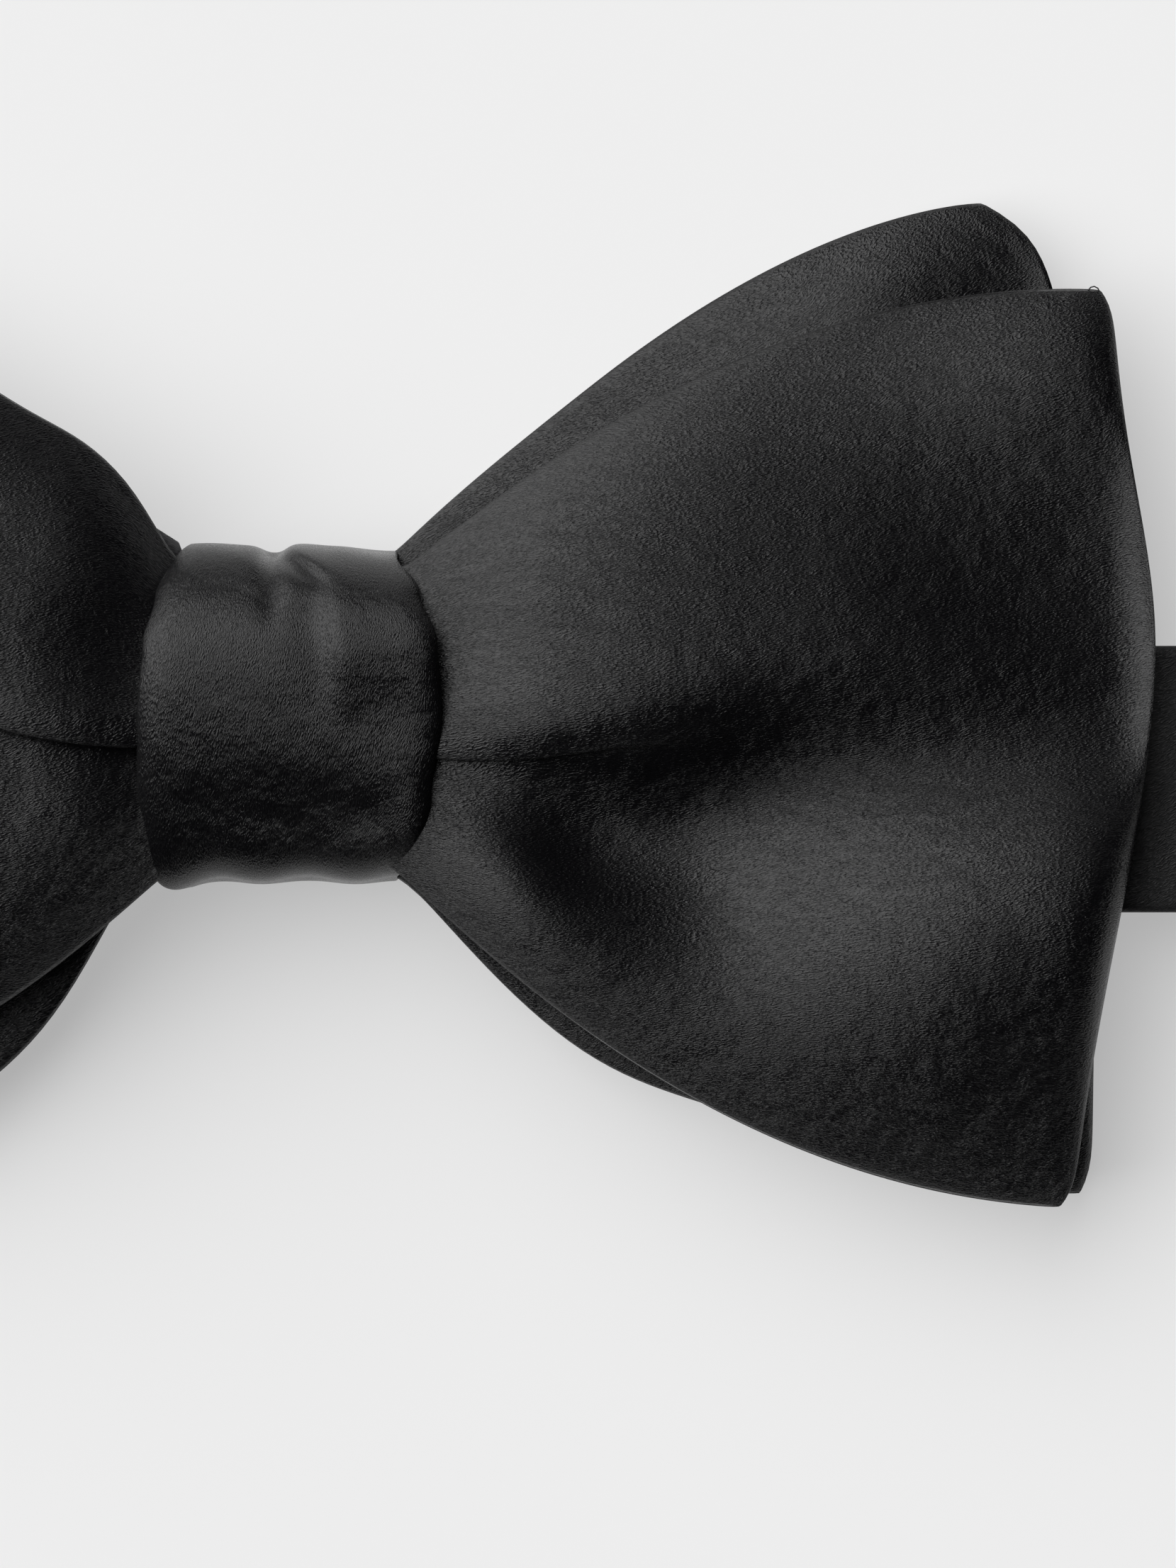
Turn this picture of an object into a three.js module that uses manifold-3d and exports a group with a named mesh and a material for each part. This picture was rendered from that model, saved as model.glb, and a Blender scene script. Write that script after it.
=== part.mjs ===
// Ready-tied satin bow tie, lying face up with its neck band folded flat behind it.
// Millimetres. Origin on the rest plane under the middle of the knot, +X to the wearer's left,
// +Y up the knot, +Z out of the face.
import * as THREE from 'three';
import Module from 'manifold-3d';

const wasm = await Module();
wasm.setup();

// ---- Driving dimensions ----

const satin = 0.5;              // one folded ply of the bow's satin
const gap = 0.3;                // clearance between touching pieces

// Stack, from the rest plane up
const strapThick = 0.6;
const strapMainBase = 2.5;      // underside of the strap's upper run
const slideBarBase = 0.75;      // underside of the slide's middle bar
const slideTopBase = 3.4;       // underside of the slide's outer bars
const knotBackBase = 3.7;
const bandBase = 4.8;           // underside of the band's front run
const bandThick = 0.9;
const backLayerBase = 6.0;
const frontLayerBase = 9.8;
const knotTop = 17.4;

// Each layer of the bow is one loop of satin, flattened, flared and pinched at the waist
const frontLayer = {
  reach: 56.4,                  // from the middle to the end, along the edges
  bulge: 4.2,                   // how much further the end reaches at mid height
  cornerTrim: 0,
  waistHalf: 7.8,
  neckHalf: 10.0,
  endHalf: 32.5,
  flarePower: 2.0,
  turn: THREE.MathUtils.degToRad(-2.6),
  shiftY: 0,
  base: frontLayerBase,
  waistBase: frontLayerBase,
  waistPuff: 5.0,
  puff: 5.8,
  seam: 1.6,
  droop: 4.0,
};
const backLayer = {
  reach: 54.5,
  bulge: 2.4,
  cornerTrim: 3.0,
  waistHalf: 7.8,
  neckHalf: 10.0,
  endHalf: 36.0,
  flarePower: 1.68,
  turn: THREE.MathUtils.degToRad(2.5),
  shiftY: -1.2,
  base: backLayerBase,
  waistBase: backLayerBase + 0.7,
  waistPuff: 2.5,
  puff: 3.2,
  seam: 1.4,
  droop: 3.0,
};
const neckAt = 8.4;             // where a layer leaves the knot
const endRoll = 2.6;            // depth of the rolled fold at a layer's end
const backSlit = 1.0;           // half the slit where a loop's ends meet behind the knot
const stations = [0, 4, 8.4, 10.5, 13.5, 18, 24, 31, 38.5, 46];
const rollSteps = 4;
const layerRows = 10;

// Knot
const knotWrap = 0.8;
const knotSide = 7.6;           // half width where the wrap turns over the waist
const knotCrown = 3.25;         // how much wider the face is at its middle
const knotRing = [              // outer outline seen from the side: y, z
  [0, knotBackBase], [-9.8, knotBackBase], [-12.0, 6.2], [-12.6, 10.2], [-11.6, 14.2],
  [-6.6, 16.9], [0, knotTop], [6.6, 16.9], [11.3, 14.2], [12.2, 10.2],
  [11.6, 6.2], [9.6, knotBackBase],
];
const liningThick = 0.4;
const liningInset = knotWrap + 0.2;
const threadThick = 0.5;

// Neck band: half a loop runs in front, half returns behind
const bandWidth = 19.2;
const bandHalfSpan = 98.0;
const bandDrop = -4.7;          // the band's centre line lies this far below the knot's
const bandPly = 0.22;
const bandLining = 0.26;
const foldRadius = (bandBase + bandThick) / 2;
const foldX = bandHalfSpan - foldRadius;

// Adjusting strap, slide, hook and eye
const strapWidth = 13.6;
const strapJoinX = 86.0;        // where the strap is sewn to the band's right end
const slideX = 50.0;
const slideLength = 9.6;
const slideWidth = 18.0;
const slideBar = 1.2;
const slideCheek = 1.1;
const hookX = -36.0;
const hookWidth = 17.4;
const tongueWidth = 7.0;
const eyeX = -61.5;             // centre line of the eye's held bar
const eyeLength = 9.0;
const eyeWidth = 14.0;
const eyeWire = 1.0;
const tabWidth = 12.0;
const tabEndX = -76.0;
const loopRadius = 1.3;         // centre line of a strap turned round a bar
const loopZ = strapThick / 2 + loopRadius;

// ---- Helpers ----

const satinBlack = { color: 0x1c1b1d, roughness: 0.42, metalness: 0 };
const linedWhite = { color: 0xd8d4cb, roughness: 0.95, metalness: 0 };
const threadBlack = { color: 0x101011, roughness: 0.7, metalness: 0 };
const steel = { color: 0xb9bbbe, roughness: 0.3, metalness: 1 };

const bowTie = new THREE.Group();

function add(name, geometry, finish) {
  const mesh = new THREE.Mesh(geometry, new THREE.MeshStandardMaterial(finish));
  mesh.name = name;
  bowTie.add(mesh);
  return mesh;
}

function smooth(from, to, value) {
  return THREE.MathUtils.smoothstep(value, from, to);
}

function mix(a, b, share) {
  return a + (b - a) * share;
}

function signedVolume(geometry) {
  const at = geometry.getAttribute('position');
  const index = geometry.getIndex();
  const [a, b, c] = [new THREE.Vector3(), new THREE.Vector3(), new THREE.Vector3()];
  let sum = 0;
  for (let i = 0; i < index.count; i += 3) {
    a.fromBufferAttribute(at, index.getX(i));
    b.fromBufferAttribute(at, index.getX(i + 1));
    c.fromBufferAttribute(at, index.getX(i + 2));
    sum += a.dot(b.cross(c)) / 6;
  }
  return sum;
}

// A closed sheet: a box with a grid on its faces, bent by shape(along, across, side), each -1 to 1
function sheet(alongSteps, acrossSteps, shape) {
  const geometry = new THREE.BoxGeometry(2, 2, 2, alongSteps, acrossSteps, 1);
  const at = geometry.getAttribute('position');
  for (let i = 0; i < at.count; i += 1) {
    const [x, y, z] = shape(at.getX(i), at.getY(i), at.getZ(i));
    at.setXYZ(i, x, y, z);
  }
  if (signedVolume(geometry) < 0) {
    const index = geometry.getIndex();
    for (let i = 0; i < index.count; i += 3) {
      const swapped = index.getX(i);
      index.setX(i, index.getX(i + 1));
      index.setX(i + 1, swapped);
    }
  }
  geometry.computeVertexNormals();
  return geometry;
}

// Points on a side view path (x, z), with the offset that keeps a strip's thickness round corners
function pathFrames(points) {
  return points.map((point, i) => {
    const before = points[Math.max(i - 1, 0)];
    const after = points[Math.min(i + 1, points.length - 1)];
    const inward = point.clone().sub(before).normalize();
    const outward = after.clone().sub(point).normalize();
    const tangent = inward.clone().add(outward).normalize();
    const cosine = i > 0 && i < points.length - 1 ? Math.max(tangent.dot(outward), 0.5) : 1;
    return { point, normal: new THREE.Vector2(-tangent.y, tangent.x).divideScalar(cosine) };
  });
}

// A strip of the given thickness and width, bent along a side view path
function strip(path, thickness, width, centreY, arcSteps = 8) {
  const frames = pathFrames(path.getPoints(arcSteps));
  return sheet(frames.length - 1, 1, (along, across, side) => {
    const frame = frames[Math.round((along + 1) / 2 * (frames.length - 1))];
    const offset = side * thickness / 2;
    const x = frame.point.x + frame.normal.x * offset;
    const z = frame.point.y + frame.normal.y * offset;
    return [x, centreY + across * width / 2, z];
  });
}

function box(x0, x1, y0, y1, z0, z1) {
  const geometry = new THREE.BoxGeometry(x1 - x0, y1 - y0, z1 - z0);
  geometry.translate((x0 + x1) / 2, (y0 + y1) / 2, (z0 + z1) / 2);
  return geometry;
}

function toSolid(geometry) {
  const at = geometry.getAttribute('position');
  const keys = new Map();
  const vertices = [];
  const remap = [];
  for (let i = 0; i < at.count; i += 1) {
    const key = [at.getX(i), at.getY(i), at.getZ(i)].map((v) => v.toFixed(4)).join();
    if (!keys.has(key)) {
      keys.set(key, vertices.length / 3);
      vertices.push(at.getX(i), at.getY(i), at.getZ(i));
    }
    remap.push(keys.get(key));
  }
  const triVerts = Uint32Array.from(geometry.getIndex().array, (i) => remap[i]);
  const vertProperties = Float32Array.from(vertices);
  return new wasm.Manifold(new wasm.Mesh({ numProp: 3, vertProperties, triVerts }));
}

function joined(geometries) {
  const solid = geometries.map(toSolid).reduce((sum, next) => sum.add(next));
  const mesh = solid.getMesh();
  const geometry = new THREE.BufferGeometry();
  geometry.setAttribute('position', new THREE.BufferAttribute(mesh.vertProperties, 3));
  geometry.setIndex(new THREE.BufferAttribute(mesh.triVerts, 1));
  geometry.computeVertexNormals();
  return geometry;
}

// One thread sewn to and fro: a flat zigzag between two lines of holes
function zigzag(x0, x1, y0, y1, passes, base) {
  const half = threadThick / 2;
  const left = [];
  const right = [];
  for (let i = 0; i <= passes; i += 1) {
    const y = mix(y0, y1, i / passes);
    const x = i % 2 ? x1 : x0;
    left.push(new THREE.Vector2(x - half, y));
    right.push(new THREE.Vector2(x + half, y));
  }
  const shape = new THREE.Shape([...left, ...right.reverse()]);
  const geometry = new THREE.ExtrudeGeometry(shape, { depth: threadThick / 2, bevelEnabled: false });
  geometry.translate(0, 0, base);
  return geometry;
}

// ---- Bow layers ----

function layerHalfHeight(layer, s) {
  if (s < neckAt) {
    return mix(layer.waistHalf, layer.neckHalf, (s / neckAt) ** 2);
  }
  const share = (s - neckAt) / (layer.reach - neckAt);
  return mix(layer.neckHalf, layer.endHalf, 1 - (1 - Math.min(share, 1)) ** layer.flarePower);
}

function layerPuff(layer, s, across) {
  const full = mix(layer.waistPuff, layer.puff, smooth(neckAt, 24, s));
  return layer.seam + (full - layer.seam) * (1 - Math.abs(across) ** 3);
}

function layerMiddle(layer, s, across) {
  const full = mix(layer.waistPuff, layer.puff, smooth(neckAt, 24, s));
  const base = mix(layer.waistBase, layer.base, smooth(neckAt, 18, s));
  const droop = layer.droop * smooth(12, 50, s) * Math.abs(across) ** 3;
  return base + full / 2 - droop;
}

// x, y and z of a point on a layer: s from the middle, rise -1 (back ply) to 1 (front ply)
function layerPoint(layer, side, s, across, rise, inset) {
  const end = layer.reach + layer.bulge * (1 - across ** 2);
  const stretch = end / layer.reach - layer.cornerTrim / layer.reach * Math.abs(across) ** 12;
  const x = side * s * stretch;
  const y = across * layerHalfHeight(layer, s);
  const z = layerMiddle(layer, s, across) + rise * (layerPuff(layer, s, across) / 2 - inset);
  const turned = new THREE.Vector2(x, y).rotateAround(new THREE.Vector2(), layer.turn);
  return [turned.x, turned.y + layer.shiftY * smooth(4, 24, s), z];
}

// The loop's stations from the front middle round one end to the slit behind the knot
function loopStations(layer) {
  const out = stations.map((s) => ({ s, rise: 1, roll: 0 }));
  const rollAt = layer.reach - endRoll;
  for (let i = 0; i <= rollSteps; i += 1) {
    const angle = Math.PI * (0.5 - i / rollSteps);
    out.push({ s: rollAt, rise: Math.sin(angle), roll: Math.cos(angle) });
  }
  const back = stations.slice(1).reverse().map((s) => ({ s, rise: -1, roll: 0 }));
  return [...out, ...back, { s: backSlit, rise: -1, roll: 0 }];
}

function layerLoop(layer) {
  const half = loopStations(layer);
  const last = half.length - 1;
  return sheet(2 * last, layerRows, (along, across, face) => {
    const place = Math.round(along * last);
    const station = half[Math.abs(place)];
    const inset = face > 0 ? 0 : satin;
    const s = station.s + station.roll * (endRoll - inset);
    return layerPoint(layer, Math.sign(place), s, across, station.rise, inset);
  });
}

function layerLining(layer, thickness, cover) {
  const steps = 14;
  return sheet(steps, 6, (along, across, face) => {
    const s = Math.abs(along) * (layer.reach - endRoll - satin - gap);
    const [x, y, z] = layerPoint(layer, Math.sign(along), s, across * cover, 0, 0);
    return [x, y, z + face * thickness / 2];
  });
}

add('front_bow_satin', layerLoop(frontLayer), satinBlack);
add('front_bow_interlining', layerLining(frontLayer, 0.8, 0.9), linedWhite);
add('back_bow_satin', layerLoop(backLayer), satinBlack);
add('back_bow_interlining', layerLining(backLayer, 0.4, 0.84), linedWhite);

// ---- Knot ----

const ring = new THREE.CatmullRomCurve3(knotRing.map(([y, z]) => new THREE.Vector3(0, y, z)), true);

function ringPoint(share, inset) {
  const point = ring.getPoint(share);
  const tangent = ring.getTangent(share);
  return [point.y - tangent.z * inset, point.z + tangent.y * inset];
}

function ringInward(inset) {
  const [, z] = ringPoint(0.5, inset);
  return z < knotTop ? inset : -inset;
}

function knotHalfWidth(y, z) {
  const face = smooth(11, 15, z);
  return knotSide + knotCrown * face * (1 - Math.min(Math.abs(y) / 12.3, 1) ** 2.5);
}

// A strip round the waist between two insets from the ring, narrower by trim
function knotStrip(from, to, outerInset, innerInset, trim, steps) {
  return sheet(steps, 4, (along, across, face) => {
    const share = mix(from, to, (along + 1) / 2);
    const [outerY, outerZ] = ringPoint(share, 0);
    const [y, z] = ringPoint(share, ringInward(face > 0 ? outerInset : innerInset));
    return [across * (knotHalfWidth(outerY, outerZ) - trim), y, z];
  });
}

add('knot_wrap_satin', knotStrip(0.004, 0.996, 0, knotWrap, 0, 36), satinBlack);
add('knot_interlining', knotStrip(0.24, 0.76, liningInset, liningInset + liningThick, 1, 20), linedWhite);
add('knot_closing_stitches', zigzag(-1.2, 1.2, -6, 6, 8, knotBackBase - 0.35), threadBlack);
bowTie.getObjectByName('knot_closing_stitches').geometry.rotateZ(Math.PI / 2);
add('knot_tuck', box(-10.3, -8.2, 10.9, 13.2, 9.4, 9.9), satinBlack);

// Thread wound round the waist of both layers
class WaistTurns extends THREE.Curve {
  getPoint(t, target = new THREE.Vector3()) {
    const turns = 3;
    const angle = 2 * Math.PI * turns * t;
    const squareness = Math.cos(angle) > 0 ? 0.45 : 0.62;
    const bend = (v) => Math.sign(v) * Math.abs(v) ** squareness;
    const pitch = 1.0;
    const x = (t - 0.5) * turns * pitch;
    return target.set(x, 9.4 * bend(Math.sin(angle)), 10.75 - 4.55 * bend(Math.cos(angle)));
  }
}
const threadRound = new THREE.Shape().absarc(0, 0, threadThick / 2, 0, 2 * Math.PI);
add('waist_binding_thread', new THREE.ExtrudeGeometry(threadRound, {
  steps: 96,
  curveSegments: 3,
  bevelEnabled: false,
  extrudePath: new WaistTurns(),
}), threadBlack);

// ---- Neck band ----

function bandCentre(x) {
  return bandDrop * smooth(knotSide, 56, Math.abs(x));
}

// A folded tape: front ply, turned edges and two flaps that meet behind, laid along stationsX
function foldedTape(stationsX, base, thickness) {
  const half = bandWidth / 2;
  const seam = 0.25;
  const section = [[-seam, 0], [-half, 0], [-half, 1], [half, 1], [half, 0], [seam, 0]];
  return sheet(stationsX.length - 1, section.length - 1, (along, across, face) => {
    const x = stationsX[Math.round((along + 1) / 2 * (stationsX.length - 1))];
    const [y, top] = section[Math.round((across + 1) / 2 * (section.length - 1))];
    const inset = face > 0 ? 0 : bandPly;
    const edge = Math.abs(y) > seam ? Math.sign(y) * inset : 0;
    const z = top ? base + thickness - inset : base + inset;
    return [x, bandCentre(x) + y - edge, z];
  });
}

const runEnd = foldX - 0.1;
const runStations = [-1, -0.8, -0.6, -0.48, -0.38, -0.28, -0.19, -0.1, 0,
  0.1, 0.19, 0.28, 0.38, 0.48, 0.6, 0.8, 1].map((share) => share * runEnd);
add('band_front_satin', foldedTape(runStations, bandBase, bandThick), satinBlack);
add('band_front_interlining', sheet(16, 1, (along, across, face) => {
  const x = runStations[Math.round((along + 1) / 2 * (runStations.length - 1))];
  const y = bandCentre(x) + across * (bandWidth / 2 - bandPly - 0.1);
  return [x, y, bandBase + bandThick / 2 + face * bandLining / 2];
}), linedWhite);

function foldPath(side) {
  const path = new THREE.Path();
  const middle = foldRadius - bandThick / 2;
  path.absarc(side * (foldX + 0.2), foldRadius, middle, Math.PI / 2, Math.PI / 2 - side * Math.PI, side > 0);
  return path;
}
add('band_right_fold', strip(foldPath(1), bandThick, bandWidth, bandDrop, 10), satinBlack);
add('band_left_fold', strip(foldPath(-1), bandThick, bandWidth, bandDrop, 10), satinBlack);

const bandLow = bandDrop - bandWidth / 2;
const bandHigh = bandDrop + bandWidth / 2;
add('band_right_end', box(strapJoinX, foldX, bandLow, bandHigh, 0, bandThick), satinBlack);
add('band_left_return', box(-foldX, tabEndX, bandLow, bandHigh, 0, bandThick), satinBlack);

// ---- Adjusting strap ----

const mainZ = strapMainBase + strapThick / 2;
const mainPath = new THREE.Path()
  .moveTo(strapJoinX - gap, strapThick / 2 + 0.15)
  .lineTo(strapJoinX - 3, strapThick / 2 + 0.15)
  .lineTo(strapJoinX - 10, mainZ)
  .lineTo(hookX, mainZ)
  .absarc(hookX, (mainZ + strapThick / 2) / 2, (mainZ - strapThick / 2) / 2, Math.PI / 2, 1.5 * Math.PI);
add('adjusting_strap', strip(mainPath, strapThick, strapWidth, bandDrop), satinBlack);

const endLoopX = slideX - 9;
add('strap_return', box(hookX + gap, endLoopX - gap, bandDrop - strapWidth / 2,
  bandDrop + strapWidth / 2, 0, strapThick), satinBlack);

const endLoopRadius = 0.8;
const endLoopPath = new THREE.Path()
  .moveTo(endLoopX, strapThick / 2)
  .lineTo(slideX, strapThick / 2)
  .absarc(slideX + 0.5, strapThick / 2 + endLoopRadius, endLoopRadius, -Math.PI / 2, Math.PI / 2)
  .lineTo(slideX, strapThick / 2 + 2 * endLoopRadius)
  .lineTo(slideX - 3.5, strapThick / 2 + 0.9)
  .lineTo(endLoopX, strapThick / 2 + 0.9);
add('strap_end_loop', strip(endLoopPath, strapThick, strapWidth, bandDrop), satinBlack);
const tackHalf = strapWidth / 2 - 0.8;
add('end_loop_tack', zigzag(endLoopX + 1, endLoopX + 4, bandDrop - tackHalf, bandDrop + tackHalf, 10,
  strapThick + 1.0), threadBlack);
add('strap_join_tack', zigzag(strapJoinX + 0.6, strapJoinX + 3.4, bandDrop - tackHalf,
  bandDrop + tackHalf, 10, bandThick + 0.1), threadBlack);

// ---- Slide, hook and eye ----

function slideBuckle() {
  const low = bandDrop - slideWidth / 2;
  const high = bandDrop + slideWidth / 2;
  const half = slideLength / 2;
  const bars = [-1, 1].map((side) => {
    const middle = slideX + side * (half - slideBar / 2);
    return box(middle - slideBar / 2, middle + slideBar / 2, low, high, slideTopBase, slideTopBase + 0.6);
  });
  const cheekTop = slideTopBase + 0.6;
  bars.push(box(slideX - half, slideX + half, low, low + slideCheek, slideBarBase, cheekTop));
  bars.push(box(slideX - half, slideX + half, high - slideCheek, high, slideBarBase, cheekTop));
  bars.push(box(slideX - 0.7, slideX + 0.7, low, high, slideBarBase, slideBarBase + 0.7));
  return joined(bars);
}
add('slide_buckle', slideBuckle(), steel);

function hook() {
  const low = bandDrop - hookWidth / 2;
  const high = bandDrop + hookWidth / 2;
  const plate = 0.6;
  const base = loopZ - plate / 2;
  const armInner = strapWidth / 2 + 0.6;
  const plateFar = hookX - 6;
  const bars = [
    box(hookX - 0.5, hookX + 0.5, low, high, base, base + plate),
    box(plateFar, hookX - 3, low, high, base, base + plate),
    box(plateFar, hookX + 0.5, low, bandDrop - armInner, base, base + plate),
    box(plateFar, hookX + 0.5, bandDrop + armInner, high, base, base + plate),
  ];
  const curl = 1.1;
  const tip = plateFar - 9;
  const tongue = new THREE.Path()
    .moveTo(plateFar + 1, loopZ)
    .lineTo(plateFar - 2, loopZ)
    .lineTo(plateFar - 4, plate / 2 + 0.1)
    .absarc(tip, plate / 2 + 0.1 + curl, curl, 1.5 * Math.PI, 0.5 * Math.PI, true)
    .lineTo(tip + 4.2, plate / 2 + 0.1 + 2 * curl);
  bars.push(strip(tongue, plate, tongueWidth, bandDrop));
  return joined(bars);
}
add('hook', hook(), steel);

function eye() {
  const base = loopZ - eyeWire / 2;
  const left = eyeX - eyeWire / 2;
  const right = left + eyeLength;
  const low = bandDrop - eyeWidth / 2;
  const high = bandDrop + eyeWidth / 2;
  return joined([
    box(left, left + eyeWire, low, high, base, base + eyeWire),
    box(right - eyeWire, right, low, high, base, base + eyeWire),
    box(left, right, low, low + eyeWire - 0.2, base, base + eyeWire),
    box(left, right, high - eyeWire + 0.2, high, base, base + eyeWire),
  ]);
}
add('eye', eye(), steel);

const tabPath = new THREE.Path()
  .moveTo(tabEndX + gap, strapThick / 2)
  .lineTo(eyeX, strapThick / 2)
  .absarc(eyeX, loopZ, loopRadius, -Math.PI / 2, Math.PI / 2)
  .lineTo(eyeX - 5, strapThick / 2 + 0.9)
  .lineTo(tabEndX + gap, strapThick / 2 + 0.9);
add('eye_tab', strip(tabPath, strapThick, tabWidth, bandDrop), satinBlack);
add('eye_tab_tack', zigzag(tabEndX + 2, tabEndX + 5, bandDrop - 5, bandDrop + 5, 8,
  strapThick + 1.0), threadBlack);

export default bowTie;
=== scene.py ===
# Ready-tied bow tie in black silk satin, lying face up with its neck band folded flat behind it.
# Metres in Blender; shapes are worked out in millimetres and turned to metres by MM.
import math

import bmesh
import bpy
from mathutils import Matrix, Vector

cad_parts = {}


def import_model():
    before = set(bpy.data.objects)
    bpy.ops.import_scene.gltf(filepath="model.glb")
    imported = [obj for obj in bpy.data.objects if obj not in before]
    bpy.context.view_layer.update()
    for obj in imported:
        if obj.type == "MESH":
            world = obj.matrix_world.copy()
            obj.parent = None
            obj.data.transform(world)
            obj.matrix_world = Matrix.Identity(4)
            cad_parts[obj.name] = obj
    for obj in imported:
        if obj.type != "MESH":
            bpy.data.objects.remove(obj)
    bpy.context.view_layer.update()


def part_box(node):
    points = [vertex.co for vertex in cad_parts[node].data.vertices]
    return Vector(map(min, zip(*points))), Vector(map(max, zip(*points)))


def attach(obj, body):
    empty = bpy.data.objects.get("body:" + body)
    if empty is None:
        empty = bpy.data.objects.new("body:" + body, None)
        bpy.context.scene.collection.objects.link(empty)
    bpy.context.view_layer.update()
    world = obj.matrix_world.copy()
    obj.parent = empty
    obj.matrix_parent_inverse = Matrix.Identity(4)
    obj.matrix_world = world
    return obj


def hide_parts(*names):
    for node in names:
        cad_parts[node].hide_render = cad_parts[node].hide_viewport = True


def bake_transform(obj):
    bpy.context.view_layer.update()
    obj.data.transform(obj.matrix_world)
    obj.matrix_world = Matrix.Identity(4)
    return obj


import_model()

MM = 0.001

# ---- Sizes, in millimetres ----

PLY = 0.34                       # one ply of satin
# A bow layer. Its outline: reach to the end, bulge and trim of that end, and the half heights waist,
# neck and end, with power for the curve between them. Its lie: turn in degrees and shift. Its height:
# base and puff, which have other values at the waist, seam at the edges, droop of the edges, roll
# of the end and swell of the front ply. edges holds wing, edge, at, width and amount.
FRONT = dict(
    reach=56.4, bulge=4.4, trim=0.0, waist=9.6, neck=10.6, end=32.6, power=2.0, turn=-2.6,
    shift=0.0, base=9.8, waist_base=9.8, waist_puff=4.8, puff=5.6, seam=0.95, droop=3.0, roll=2.6,
    edges=((-1, -1, 21.0, 12.0, -1.5), (-1, 1, 14.5, 4.5, 1.3), (-1, 1, 8.6, 2.0, -1.5)), swell=1.3,
)
BACK = dict(
    reach=55.5, bulge=2.4, trim=4.0, waist=9.4, neck=10.6, end=35.6, power=1.74, turn=2.5,
    shift=-1.2, base=6.0, waist_base=6.7, waist_puff=2.4, puff=3.0, seam=0.9, droop=3.0, roll=1.4,
    edges=((1, -1, 18.0, 12.0, -3.5), (-1, -1, 11.5, 6.0, 4.6)), swell=0.3,
)
NECK_AT = 7.6                    # where a layer comes out of the knot
SLIT = 1.0                       # half the slit where a loop's ends meet behind the knot

CORNER = 0.9                     # how much the layers' corners are rounded off

PLEAT_AT_KNOT = -0.17            # where the wing's pleat lies across the layer at the knot,
PLEAT_AT_END = 0.04              # where it lies at its far end,
PLEAT_END = 36.0                 # and how far out that is
PLEAT_SPREAD = 0.09              # half its width, as a share of the layer's half height
PLEAT_FADE = 40.0                # how far out it has died away
PLEAT_ROWS = -0.12               # where the grid rows are crowded together for it

BAND_WIDTH = 19.2
BAND_DROP = -4.7                 # y of the band's middle beyond the bow
BAND_BASE = 4.8                  # underside of its front run
BAND_THICK = 0.9
FOLD_X = 95.15                   # where the band folds back, on both sides
RIGHT_TAIL_X = 85.2              # where the right end's short run behind the fold stops
LEFT_TAIL_X = 75.2               # and the left return's
STRAP_WIDTH = 13.6
STRAP = 0.6                      # the strap's thickness in CAD
HOOK_X = -36.0
SLIDE_X = 50.0
EYE_X = -61.5
LOOP_Z = 1.6                     # height of the hook's and the eye's bars


# ---- Small helpers ----

def smooth(low, high, value):
    share = min(max((value - low) / (high - low), 0.0), 1.0)
    return share * share * (3 - 2 * share)


def mix(a, b, share):
    return a + (b - a) * share


def turned_frame(x, y, middle_x, middle_y, turn):
    """A point measured from a middle, along and across a direction turned by degrees."""
    angle = math.radians(turn)
    dx, dy = x - middle_x, y - middle_y
    return (dx * math.cos(angle) + dy * math.sin(angle),
            dy * math.cos(angle) - dx * math.sin(angle))


def bump(x, y, middle_x, middle_y, long, wide, turn, rise):
    """A soft hill or hollow: long and wide are where it has fallen to about a third."""
    along, across = turned_frame(x, y, middle_x, middle_y, turn)
    return rise * math.exp(-(along / long) ** 2 - (across / wide) ** 2)


def linear(hex_colour):
    """An sRGB hex colour as linear RGBA."""
    parts = [int(hex_colour[i:i + 2], 16) / 255 for i in (1, 3, 5)]
    return [p / 12.92 if p <= 0.04045 else ((p + 0.055) / 1.055) ** 2.4 for p in parts] + [1.0]


def add_node(tree, kind, settings=(), inputs=(), **links):
    """A node with its settings, input values and links.
    A link is input name=(node, output name), or _number= for an input known by its place."""
    node = tree.nodes.new(kind)
    for name, value in dict(settings).items():
        setattr(node, name, value)
    for name, value in dict(inputs).items():
        node.inputs[name].default_value = value
    for name, (source, output) in links.items():
        key = int(name[1:]) if name[1:].isdigit() else name.replace("_", " ")
        socket = node.inputs[key]
        tree.links.new(source.outputs[output], socket)
    return node


def new_material(name, rough, colour, ior=1.5, metallic=0.0):
    """A material with its shader; its nodes are added by the caller."""
    material = bpy.data.materials.new(name)
    material.use_nodes = True
    tree = material.node_tree
    tree.nodes.clear()
    output = tree.nodes.new("ShaderNodeOutputMaterial")
    shader = tree.nodes.new("ShaderNodeBsdfPrincipled")
    shader.inputs["Base Color"].default_value = linear(colour)
    shader.inputs["Roughness"].default_value = rough
    shader.inputs["IOR"].default_value = ior
    shader.inputs["Metallic"].default_value = metallic
    tree.links.new(shader.outputs["BSDF"], output.inputs["Surface"])
    return material, tree, shader


# ---- Materials ----

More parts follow.
